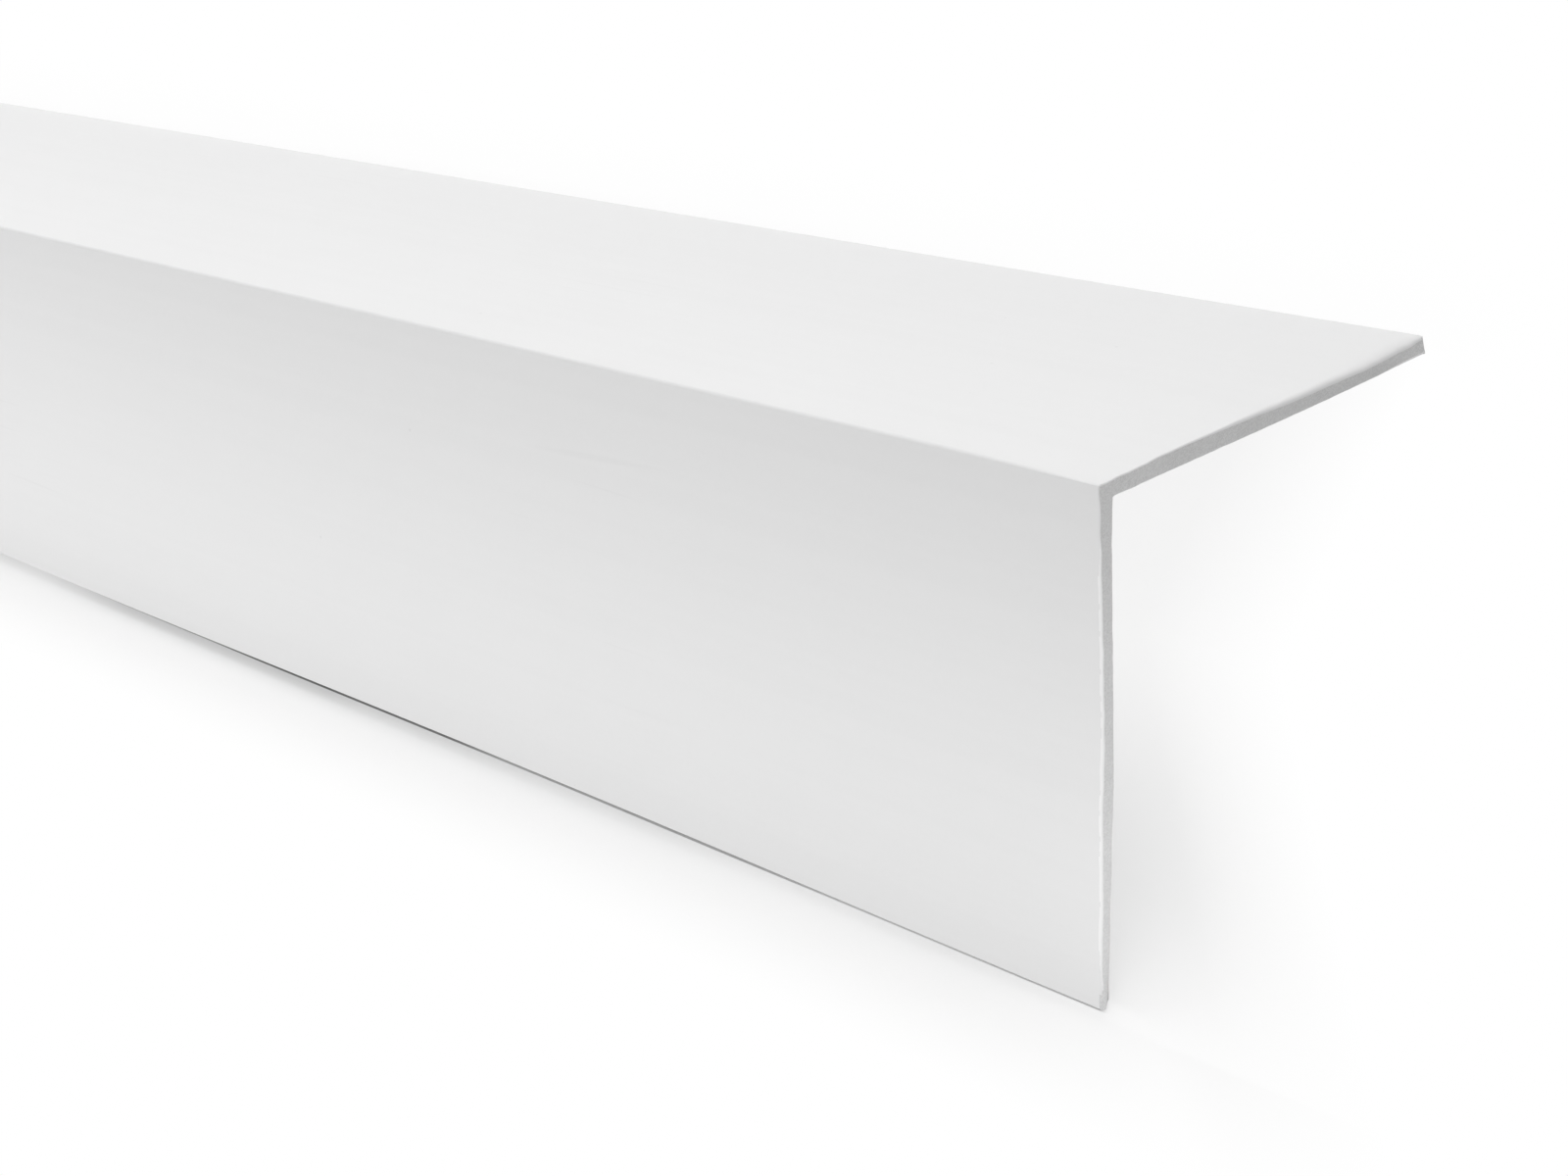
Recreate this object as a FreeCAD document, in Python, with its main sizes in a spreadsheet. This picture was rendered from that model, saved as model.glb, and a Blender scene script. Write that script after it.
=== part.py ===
import FreeCAD, Part
import collections
import enum
import math
import os

import Sketcher

# Corner guard moulding: a rigid plastic angle with two legs, extruded in one piece and sawn to length.
# X runs along the stock and Z is up. The angle stands like a tent, ridge up, on its two free edges,
# and the middle of its footprint is the origin. Lengths are in millimetres.

SIZES = {
    "stock_length": 1000.0,  # sawn length of the piece
    "front_leg": 50.0,       # outside width of the leg on the -Y side, from the ridge to its free edge
    "rear_leg": 50.0,        # outside width of the leg on the +Y side
    "wall": 1.8,             # thickness of both legs
    "ridge_radius": 0.5,     # rounding along the outside corner
    "root_radius": 0.2,      # fillet along the inside corner
    "tip_radius": 0.2,       # rounding of the arrises along both free edges
    "edge_break": 0.1,       # bevel around each sawn end, where it was deburred
}

NODE = "corner_guard"
SHEET = "Sizes"

# A sharp corner of the section: its name, its place, and the size that rounds it.
Corner = collections.namedtuple("Corner", "name y z rounding")


class End(enum.IntEnum):
    """The end of a line or an arc that a constraint takes hold of."""

    START = 1
    FINISH = 2


class Axis(enum.IntEnum):
    """The sketch's own axes. The start of the horizontal one is the sketch's origin."""

    HORIZONTAL = -1
    VERTICAL = -2


def cell(alias):
    """The expression that reads one size from the sheet."""
    return f"{SHEET}.{alias}"


def make_sheet(doc):
    """Put every driving size in the spreadsheet, in a cell with its own alias."""
    sheet = doc.addObject("Spreadsheet::Sheet", SHEET)
    for row, (alias, value) in enumerate(SIZES.items(), start=1):
        sheet.set(f"A{row}", alias)
        sheet.set(f"B{row}", str(value))
        sheet.setAlias(f"B{row}", alias)
    doc.recompute()
    return sheet


def section_corners(sheet):
    """The section's six corners, clockwise from the ridge.

    The ridge is the sketch's origin. The front leg hangs down from it and the rear leg runs to the right.
    """
    front, rear, wall = sheet.front_leg, sheet.rear_leg, sheet.wall
    return [
        Corner("ridge", 0, 0, "ridge_radius"),
        Corner("rear_tip_outer", rear, 0, "tip_radius"),
        Corner("rear_tip_inner", rear, -wall, "tip_radius"),
        Corner("root", wall, -wall, "root_radius"),
        Corner("front_tip_inner", wall, -front, "tip_radius"),
        Corner("front_tip_outer", 0, -front, "tip_radius"),
    ]


def draw_corners(sketch, sheet, corners):
    """Draw the arc that rounds each corner.

    Gives, for each corner, the arc and the points and arc ends where the outline enters and leaves it.
    """
    points = [FreeCAD.Vector(corner.y, corner.z, 0) for corner in corners]
    rounded = []
    for place, corner in enumerate(corners):
        point, radius = points[place], getattr(sheet, corner.rounding)
        arriving = (point - points[place - 1]).normalize()
        leaving = (points[(place + 1) % len(points)] - point).normalize()
        entry = point - arriving * radius
        departure = point + leaving * radius
        centre = entry + leaving * radius
        # An arc is drawn anticlockwise, so where the outline turns right it is entered by its end.
        turns_right = arriving.cross(leaving).z < 0
        first, last = (departure, entry) if turns_right else (entry, departure)
        angles = [math.atan2(end.y - centre.y, end.x - centre.x) for end in (first, last)]
        circle = Part.Circle(centre, FreeCAD.Vector(0, 0, 1), radius)
        arc = sketch.addGeometry(Part.ArcOfCircle(circle, *angles), False)
        entry_end, departure_end = (End.FINISH, End.START) if turns_right else (End.START, End.FINISH)
        rounded.append((arc, entry, entry_end, departure, departure_end))
    return rounded


def draw_faces(sketch, rounded):
    """Draw the straight face after each corner, tangent to the arcs at both its ends."""
    faces = []
    for place, (arc, _, _, departure, departure_end) in enumerate(rounded):
        next_arc, next_entry, next_entry_end, _, _ = rounded[(place + 1) % len(rounded)]
        face = sketch.addGeometry(Part.LineSegment(departure, next_entry), False)
        sketch.addConstraint(Sketcher.Constraint("Tangent", face, End.START, arc, departure_end))
        sketch.addConstraint(Sketcher.Constraint("Tangent", face, End.FINISH, next_arc, next_entry_end))
        faces.append(face)
    return faces


def bind(sketch, name, alias, *constraint):
    """Add a named dimension to the sketch and tie it to its cell."""
    place = sketch.addConstraint(Sketcher.Constraint(*constraint))
    sketch.renameConstraint(place, name)
    sketch.setExpression(f"Constraints.{name}", cell(alias))


def make_section(body, sheet):
    """The die's section, on the plane across the stock, with every size tied to the sheet."""
    sketch = body.newObject("Sketcher::SketchObject", "Section")
    plane = next(item for item in body.Origin.OriginFeatures if item.Role == "YZ_Plane")
    sketch.AttachmentSupport = (plane, [""])
    sketch.MapMode = "FlatFace"

    corners = section_corners(sheet)
    rounded = draw_corners(sketch, sheet, corners)
    faces = draw_faces(sketch, rounded)
    rear_outside, rear_tip, rear_inside, front_inside, front_tip, front_outside = faces
    for face in (rear_outside, rear_inside, front_tip):
        sketch.addConstraint(Sketcher.Constraint("Horizontal", face))
    for face in (rear_tip, front_inside, front_outside):
        sketch.addConstraint(Sketcher.Constraint("Vertical", face))
    sketch.addConstraint(
        Sketcher.Constraint("PointOnObject", rear_outside, End.START, Axis.HORIZONTAL))
    sketch.addConstraint(
        Sketcher.Constraint("PointOnObject", front_outside, End.START, Axis.VERTICAL))

    origin = (Axis.HORIZONTAL, End.START)
    bind(sketch, "rear_width", "rear_leg", "DistanceX", *origin, rear_tip, End.START, sheet.rear_leg)
    bind(sketch, "front_wall", "wall", "DistanceX", *origin, front_inside, End.START, sheet.wall)
    bind(sketch, "rear_wall", "wall", "DistanceY", rear_inside, End.START, *origin, sheet.wall)
    bind(sketch, "front_width", "front_leg", "DistanceY", front_tip, End.START, *origin, sheet.front_leg)
    for corner, (arc, *_) in zip(corners, rounded):
        radius = getattr(sheet, corner.rounding)
        bind(sketch, f"{corner.name}_rounding", corner.rounding, "Radius", arc, radius)
    return sketch


def make_extrusion(body, sketch):
    """Run the section along the stock, half to each side of the middle."""
    extrusion = body.newObject("PartDesign::Pad", "Extrusion")
    extrusion.Profile = sketch
    extrusion.Midplane = True
    extrusion.setExpression("Length", cell("stock_length"))
    return extrusion


def deburr_ends(body, extrusion):
    """Break the arrises all round both sawn ends."""
    ends = [
        f"Face{place}"
        for place, face in enumerate(extrusion.Shape.Faces, start=1)
        if abs(face.normalAt(0, 0).x) > math.cos(math.radians(1))
    ]
    bevel = body.newObject("PartDesign::Chamfer", "SawnEnds")
    bevel.Base = (extrusion, ends)
    bevel.setExpression("Size", cell("edge_break"))
    return bevel


def rest_on_free_edges(body):
    """Lean the angle until both free edges lie on Z = 0, and centre its footprint on Y = 0.

    A free edge touches the floor with the rounding of its inner arris, whose centre lies one tip
    radius inside the wall's inner face and the tip.
    """
    front, rear, wall, tip = (cell(alias) for alias in ("front_leg", "rear_leg", "wall", "tip_radius"))
    lean = f"atan(({front} - {wall}) / ({rear} - {wall}))"
    front_reach = f"(({front} - {tip}) * sin({lean}) - {tip} * cos({lean}) + {tip})"
    rear_reach = f"(({rear} - {tip}) * cos({lean}) - {tip} * sin({lean}) + {tip})"
    height = f"(({front} - {tip}) * cos({lean}) + ({wall} - {tip}) * sin({lean}) + {tip})"

    body.Placement = FreeCAD.Placement(
        FreeCAD.Vector(), FreeCAD.Rotation(FreeCAD.Vector(-1, 0, 0), 45))
    body.setExpression("Placement.Rotation.Angle", lean)
    body.setExpression("Placement.Base.y", f"({front_reach} - {rear_reach}) / 2")
    body.setExpression("Placement.Base.z", height)


def check(doc, sketch, body):
    """Stop if anything in the document failed, or if the piece isn't one sound solid."""
    for item in doc.Objects:
        failed = {"Invalid", "Error"} & set(item.State)
        if failed:
            raise RuntimeError(f"{item.Label}: {', '.join(sorted(failed))}")
    if not sketch.FullyConstrained:
        raise RuntimeError("the section has loose sizes")
    if body.Shape.isNull() or not body.Shape.isValid() or len(body.Shape.Solids) != 1:
        raise RuntimeError(f"{body.Label} is not one sound solid")


def main():
    """Build the corner guard and write its solid."""
    doc = FreeCAD.newDocument("CornerGuard")
    sheet = make_sheet(doc)
    body = doc.addObject("PartDesign::Body", "CornerGuard")
    body.Label = NODE
    sketch = make_section(body, sheet)
    extrusion = make_extrusion(body, sketch)
    doc.recompute()
    deburr_ends(body, extrusion)
    rest_on_free_edges(body)
    doc.recompute()
    check(doc, sketch, body)

    os.makedirs("parts", exist_ok=True)
    body.Shape.exportStep(f"parts/{body.Label}.step")
    box = body.Shape.BoundBox
    print(f"{body.Label}: volume {body.Shape.Volume:.0f} mm3")
    low, high = (box.XMin, box.YMin, box.ZMin), (box.XMax, box.YMax, box.ZMax)
    print("box", *(f"{value:.3f}" for value in low), "to", *(f"{value:.3f}" for value in high))


main()
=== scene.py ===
"""Dresses the corner guard moulding, a white rigid PVC angle, and lights it as a studio picture.

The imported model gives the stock's length and the width of its legs. The piece that stands for it here
has the same section with the traces of the real one: legs that aren't quite flat, free edges that lift
off the floor by a few tenths of a millimetre between the places where they touch, and ends that were
sawn by hand.

Two frames are used. In the row frame the angle stands like a tent on its two free edges. In the die
frame the near end of the ridge is the origin, X runs along the stock, the front leg hangs down -Z and
the rear leg runs back along +Y, which is how the picture shows it. Lengths are in metres.
"""

import logging
import math
from dataclasses import dataclass
from enum import Enum

import bmesh
import bpy
from mathutils import Matrix, Vector, noise


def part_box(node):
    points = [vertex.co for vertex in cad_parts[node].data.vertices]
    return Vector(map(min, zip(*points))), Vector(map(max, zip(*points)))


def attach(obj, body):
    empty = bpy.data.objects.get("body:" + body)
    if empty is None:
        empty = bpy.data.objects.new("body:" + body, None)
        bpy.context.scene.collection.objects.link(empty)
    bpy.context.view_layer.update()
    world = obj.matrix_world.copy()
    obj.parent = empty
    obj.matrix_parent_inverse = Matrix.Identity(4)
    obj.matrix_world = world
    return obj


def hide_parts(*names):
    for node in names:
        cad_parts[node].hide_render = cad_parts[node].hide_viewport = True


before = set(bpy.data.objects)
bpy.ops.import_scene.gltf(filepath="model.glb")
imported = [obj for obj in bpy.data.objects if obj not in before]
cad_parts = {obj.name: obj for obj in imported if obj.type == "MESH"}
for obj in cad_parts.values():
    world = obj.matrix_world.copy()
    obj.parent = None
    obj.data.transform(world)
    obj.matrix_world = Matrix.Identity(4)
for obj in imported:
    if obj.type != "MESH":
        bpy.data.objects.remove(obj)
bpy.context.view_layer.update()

NODE = "corner_guard"
BODY = "root"
MM = 0.001
RIGHT_ANGLE = math.pi / 2

# Range that holds nearly all values of a noise pattern in a material.
NOISE_SPREAD = (0.3, 0.7)

# How far each leg's patterns are shifted along the stock, each its own way, so that they differ.
LEG_OFFSET = 1.7

# Pairs of place and value through which a smooth curve runs.
Knots = tuple[tuple[float, float], ...]

log = logging.getLogger("corner_guard")


def lerp(low: float, high: float, share: float) -> float:
    """Value a share of the way from low to high."""
    return low + (high - low) * share


def smoothstep(low: float, high: float, value: float) -> float:
    """Rise smoothly from 0 at low to 1 at high."""
    share = min(max((value - low) / (high - low), 0.0), 1.0)
    return share * share * (3 - 2 * share)


def along_knots(knots: Knots, at: float) -> float:
    """Read a smooth curve that is flat at each of a few chosen knots.

    Args:
        knots: pairs of place and value, in rising order of place.
        at: where to read the curve.

    Returns:
        The curve's value, held constant past the first and last knots.
    """
    for (low, first), (high, second) in zip(knots, knots[1:]):
        if at <= high:
            return lerp(first, second, smoothstep(low, high, at))
    return knots[-1][1]


def graded_shares(length: float, fine: float, coarse: float, growth: float = 1.6) -> list[float]:
    """Divide a length into steps that are fine at both ends and coarse in the middle.

    Args:
        length: the length to divide.
        fine: the first and last steps.
        coarse: the longest step.
        growth: how much each step is longer than the one before it.

    Returns:
        The places of the division as shares of the length, from 0 to 1.
    """
    steps = []
    step = fine
    while 2 * (sum(steps) + step) < length - coarse and step < coarse:
        steps.append(step)
        step *= growth
    middle = length - 2 * sum(steps)
    count = max(1, round(middle / coarse))
    steps = steps + [middle / count] * count + steps[::-1]
    places = [0.0]
    for step in steps:
        places.append(places[-1] + step)
    return [place / places[-1] for place in places]


def chance(along: float, lane: float, seed: float) -> float:
    """Smooth random value, from about -1 to 1, at a place along one of many lanes that differ."""
    return noise.noise(Vector((along, lane, seed)))


@dataclass(frozen=True)
class Spot:
    """A point of the section's outline, in the die frame.

    Attributes:
        y, z: its place.
        normal: the outward direction there.
        along: signed share of the way from the ridge (0) to the front (-1) or the rear (+1) free edge.
        depth: share of the way through the wall, from 0 on the outside to 1 on the inside.
    """

    y: float
    z: float
    normal: tuple[float, float]
    along: float
    depth: float

    def mirrored(self) -> "Spot":
        """The rear leg's copy of a spot of the front leg."""
        return Spot(-self.z, -self.y, (-self.normal[1], -self.normal[0]), -self.along, self.depth)


@dataclass(frozen=True)
class Section:
    """The die's section: two legs of one wall, with its corners rounded.

    Attributes:
        leg: outside width of a leg.
        wall: thickness of both legs.
        ridge_radius, root_radius: rounding of the outside and the inside corner.
        tip_radius: rounding of the arrises along the free edges.
        packed_tip_radius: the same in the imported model.
        arc_steps, tip_arc_steps, tip_flat_steps: facets of a rounding and of a free edge.
        fine_step, coarse_step: width of the facets next to a corner and in the middle of a leg.
    """

    leg: float
    wall: float = 1.8 * MM
    ridge_radius: float = 0.40 * MM
    root_radius: float = 0.15 * MM
    tip_radius: float = 0.12 * MM
    packed_tip_radius: float = 0.2 * MM
    arc_steps: int = 8
    tip_arc_steps: int = 4
    tip_flat_steps: int = 6
    fine_step: float = 0.06 * MM
    coarse_step: float = 0.5 * MM

    @classmethod
    def from_box(cls, low: Vector, high: Vector) -> "Section":
        """Work the legs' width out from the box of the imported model."""
        reach, radius = (high.y - low.y) / 2, cls.packed_tip_radius
        return cls(leg=2 * radius + (reach - radius) * math.sqrt(2))

    @property
    def ridge_height(self) -> float:
        """Height of the sharp outside corner above the floor when both free edges lie on it."""
        reach = self.leg - self.tip_radius + self.wall - self.tip_radius
        return reach / math.sqrt(2) + self.tip_radius

    @staticmethod
    def _over(front: list[Spot], corner: list[Spot]) -> list[Spot]:
        """Lead a chain on over the corner and down the rear leg."""
        return front + corner + [spot.mirrored() for spot in reversed(front)]

    def _flat(self, y: float, normal: float, corner_end: float, depth: float) -> list[Spot]:
        """One face of the front leg, from its tip to the corner's rounding."""
        top, bottom = -corner_end, -(self.leg - self.tip_radius)
        shares = graded_shares(self.leg, self.fine_step, self.coarse_step)
        places = [lerp(bottom, top, share) for share in shares]
        return [Spot(y, z, (normal, 0.0), z / self.leg, depth) for z in places]

    def _arc(self, centre: tuple[float, float], radius: float, start: float, turn: float,
             steps: int, along: float, depth: float, inward: bool = False) -> list[Spot]:
        """Inner spots of a rounding, without its two ends.

        Args:
            centre: the arc's centre as y and z.
            radius: the arc's radius.
            start: angle of the first normal from +Y towards +Z.
            turn: how far the normal turns over the arc.
            steps: the number of facets.
            along: place of the rounding along the legs.
            depth: place of the rounding through the wall.
            inward: true where the material is outside the arc.

        Returns:
            The spots between the arc's ends.
        """
        side = -1 if inward else 1
        spots = []
        for step in range(1, steps):
            angle = start + turn * step / steps
            normal = (math.cos(angle), math.sin(angle))
            y = centre[0] + side * radius * normal[0]
            z = centre[1] + side * radius * normal[1]
            spots.append(Spot(y, z, normal, along, depth))
        return spots

    def outside(self) -> list[Spot]:
        """The outside from the front tip over the ridge to the rear tip."""
        centre = (self.ridge_radius, -self.ridge_radius)
        ridge = self._arc(centre, self.ridge_radius, math.pi, -RIGHT_ANGLE, self.arc_steps, 0.0, 0.0)
        return self._over(self._flat(0.0, -1.0, self.ridge_radius, 0.0), ridge)

    def inside(self) -> list[Spot]:
        """The inside from the front tip over the root to the rear tip."""
        reach = self.wall + self.root_radius
        root = self._arc((reach, -reach), self.root_radius, 0.0, -RIGHT_ANGLE,
                         self.arc_steps, 0.0, 1.0, inward=True)
        return self._over(self._flat(self.wall, 1.0, reach, 1.0), root)

    def front_tip(self) -> list[Spot]:
        """The front free edge from the outside to the inside, without its two ends."""
        radius, wall = self.tip_radius, self.wall
        level = -(self.leg - radius)
        outer = self._arc((radius, level), radius, math.pi, RIGHT_ANGLE, self.tip_arc_steps, -1.0, 0.0)
        inner = self._arc((wall - radius, level), radius, -RIGHT_ANGLE, RIGHT_ANGLE,
                          self.tip_arc_steps, -1.0, 1.0)
        flat = []
        for step in range(self.tip_flat_steps + 1):
            share = step / self.tip_flat_steps
            flat.append(Spot(lerp(radius, wall - radius, share), -self.leg, (0.0, -1.0), -1.0, share))
        return outer + flat + inner

    def rear_tip(self) -> list[Spot]:
        """The rear free edge from the outside to the inside, without its two ends."""
        return [spot.mirrored() for spot in self.front_tip()]


@dataclass(frozen=True)
class Resting:
    """How the die frame lies in the row frame: leaning until both free edges are on the floor."""

    ridge_end: Vector
    lean: float = math.pi / 4

    @property
    def matrix(self) -> Matrix:
        """The turn and shift from the die frame to the row frame."""
        return Matrix.Translation(self.ridge_end) @ Matrix.Rotation(-self.lean, 4, "X")


@dataclass(frozen=True)
class SawnEnd:
    """One end of the stock, sawn by hand and rubbed over.

    Attributes:
        side: +1 for the end that the picture shows and -1 for the other.
        setback: how far the ridge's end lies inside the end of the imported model.
        front_outer, front_inner: how far the cut reaches beyond the ridge's end on the outside and the
            inside of the front leg, by share of the leg's width.
        rear_outer, rear_inner: the same on the rear leg.
        front_length, rear_length: rubbed length of the outer arris, likewise.
        front_drop, rear_drop: rubbed depth of the outer arris into the wall, likewise.
        inner_break: the break of the rear leg's inner arris. The front leg's has the first knot's.
        tip_break: the break of the arrises across the free edges.
        corner_wear: how far the ridge's corner is worn down.
        wear_across, wear_along: how far that reaches, as a share of the rear leg and along the stock.
        raggedness, unevenness: height of the cut's waves by the ridge and by the free edges.
        ragged_reach: the shares of a leg's width between which they go from one to the other.
        uneven_pitch: length of those waves.
        rub_variation, rub_lane: how much the rubbed length varies, and the random lane that varies it.
        seed: what makes one end's unevenness differ from the other's.
    """

    side: int
    setback: float = 0.55 * MM
    front_outer: Knots = (
        (0.0, 0.0), (0.27, 0.065 * MM), (0.45, 0.05 * MM), (0.64, -0.29 * MM), (0.76, -0.36 * MM),
        (0.92, -0.60 * MM), (1.0, -0.40 * MM))
    front_inner: Knots = (
        (0.04, 0.03 * MM), (0.10, -0.14 * MM), (0.36, -0.24 * MM), (0.55, -0.30 * MM),
        (0.72, -0.64 * MM), (0.84, -0.89 * MM), (1.0, -1.21 * MM))
    rear_outer: Knots = (
        (0.0, 0.0), (0.10, 0.16 * MM), (0.22, 0.18 * MM), (0.40, 0.31 * MM), (0.60, 0.61 * MM),
        (0.78, 0.66 * MM), (0.93, 0.20 * MM), (1.0, 0.18 * MM))
    rear_inner: Knots = ((0.0, 0.0), (0.7, 0.43 * MM), (1.0, 0.50 * MM))
    front_length: Knots = (
        (0.0, 0.14 * MM), (0.15, 0.24 * MM), (0.945, 0.24 * MM), (0.985, 0.50 * MM))
    rear_length: Knots = (
        (0.0, 0.14 * MM), (0.3, 0.20 * MM), (0.6, 0.60 * MM), (0.93, 1.5 * MM), (0.955, 1.4 * MM),
        (0.99, 0.80 * MM))
    front_drop: Knots = ((0.0, 0.10 * MM), (0.945, 0.15 * MM), (0.985, 0.28 * MM))
    rear_drop: Knots = (
        (0.0, 0.12 * MM), (0.22, 0.14 * MM), (0.6, 0.45 * MM), (0.93, 0.62 * MM), (0.955, 0.60 * MM),
        (0.99, 0.40 * MM))
    inner_break: Knots = ((0.80, 0.08 * MM), (0.95, 0.35 * MM))
    tip_break: float = 0.08 * MM
    corner_wear: float = 0.24 * MM
    wear_across: float = 0.20
    wear_along: float = 13 * MM
    raggedness: float = 0.14 * MM
    unevenness: float = 0.035 * MM
    ragged_reach: tuple[float, float] = (0.1, 0.6)
    uneven_pitch: float = 1.8 * MM
    rub_variation: float = 0.25
    rub_lane: float = 7.0
    seed: float = 0.0

    def _uneven(self, distance: float, lane: float) -> float:
        """Smooth random value, from about -1 to 1, at a distance across the cut."""
        return chance(distance / self.uneven_pitch, lane, self.seed)

    def overhang(self, spot: Spot, leg: float) -> float:
        """How far the cut reaches beyond the ridge's end at a spot of the outline.

        Args:
            spot: the place on the section.
            leg: width of a leg.

        Returns:
            The overhang, positive away from the stock.
        """
        share = abs(spot.along)
        if spot.along < 0:
            outer, inner = self.front_outer, self.front_inner
        else:
            outer, inner = self.rear_outer, self.rear_inner
        shape = lerp(along_knots(outer, share), along_knots(inner, share), spot.depth)
        waves = lerp(self.raggedness, self.unevenness, smoothstep(*self.ragged_reach, share))
        return shape + waves * self._uneven(spot.along * leg, spot.depth)

    def rubbed(self, spot: Spot, leg: float) -> tuple[float, float]:
        """How far the arris is rubbed back along the stock, and how deep into the wall.

        Args:
            spot: the place on the section.
            leg: width of a leg.

        Returns:
            The length and the depth of the rounding.
        """
        share = abs(spot.along)
        length_knots = self.front_length if spot.along < 0 else self.rear_length
        drop_knots = self.front_drop if spot.along < 0 else self.rear_drop
        vary = 1 + self.rub_variation * self._uneven(spot.along * leg + leg, self.rub_lane)
        inner = along_knots(self.inner_break, max(spot.along, 0.0))
        length = lerp(along_knots(length_knots, share), inner, spot.depth) * vary
        drop = lerp(along_knots(drop_knots, share), inner, spot.depth)
        tipward = max(-spot.normal[1] if spot.along < 0 else spot.normal[0], 0.0)
        return lerp(length, self.tip_break, tipward), lerp(drop, self.tip_break, tipward)

    def worn(self, spot: Spot, distance: float) -> float:
        """How far the rear leg's outside is worn down at a spot, at a distance from this end."""
        if spot.along < 0:
            return 0.0
        across = 1 - smoothstep(0.0, self.wear_across, spot.along)
        along = 1 - smoothstep(0.0, self.wear_along, distance)
        return self.corner_wear * across * along * max(spot.normal[1], 0.0)


@dataclass(frozen=True)
class Straightness:
    """How the stock strays from a straight and flat one.

    Attributes:
        first_span, first_lift: the first stretch of the front edge that lifts off the floor, and how
            far it does.
        rear_first_lift: the lift of the rear edge along the same stretch.
        span_range, lift_range: the limits of the other stretches.
        hump_pitch, hump_lane: the distance over which these change, and the random lane and seed that
            change them. The lane has the leg's sign.
        touch: length of each place between them where the edge lies on the floor.
        spread: how far the front edge stands out along the floor, by distance from the nearer end.
        bend_from: the share of a leg's width from which it follows its free edge.
        face_wave: how far the middle of a leg's face strays from flat.
        wave_pitch, wave_lane: length of that wave along the stock, and its random lane and seed.
    """

    first_span: float = 170 * MM
    first_lift: float = 0.29 * MM
    rear_first_lift: float = 0.03 * MM
    span_range: tuple[float, float] = (110 * MM, 210 * MM)
    lift_range: tuple[float, float] = (0.10 * MM, 0.35 * MM)
    hump_pitch: float = 90 * MM
    hump_lane: tuple[float, float] = (3.7, 1.3)
    touch: float = 6 * MM
    spread: Knots = ((0.0, 0.18 * MM), (60 * MM, 0.10 * MM))
    bend_from: float = 0.3
    face_wave: float = 0.10 * MM
    wave_pitch: float = 130 * MM
    wave_lane: tuple[float, float] = (2.1, 5.2)

    def humps(self, leg_side: int, length: float) -> list[tuple[float, float, float]]:
        """Lay out the stretches in which a free edge is off the floor.

        Args:
            leg_side: -1 for the front leg and +1 for the rear one.
            length: length of the stock.

        Returns:
            The start of each stretch from the near end, its length and its lift.
        """
        span, lift = self.first_span, self.first_lift if leg_side < 0 else self.rear_first_lift
        lane, seed = self.hump_lane
        place, found = 0.0, []
        while place < length:
            span = min(span, length - place)
            found.append((place, span, lift))
            place += span + self.touch
            longer = min(max(0.5 + chance(place / self.hump_pitch, leg_side * lane, seed), 0.0), 1.0)
            span = lerp(*self.span_range, longer)
            lift = lerp(*self.lift_range, 1 - longer)
        return found

    @staticmethod
    def lift(humps: list[tuple[float, float, float]], distance: float) -> float:
        """Lift of a free edge off the floor at a distance from the near end."""
        for start, span, lift in humps:
            if start <= distance <= start + span:
                return lift * math.sin(math.pi * (distance - start) / span) ** 2
        return 0.0

    def wave(self, spot: Spot, distance: float) -> float:
        """Outward swell of a leg's wall at a spot, at a distance from the near end."""
        lane, seed = self.wave_lane
        swell = chance(distance / self.wave_pitch, math.copysign(lane, spot.along), seed)
        return self.face_wave * swell * math.sin(math.pi * abs(spot.along)) ** 2


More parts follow.
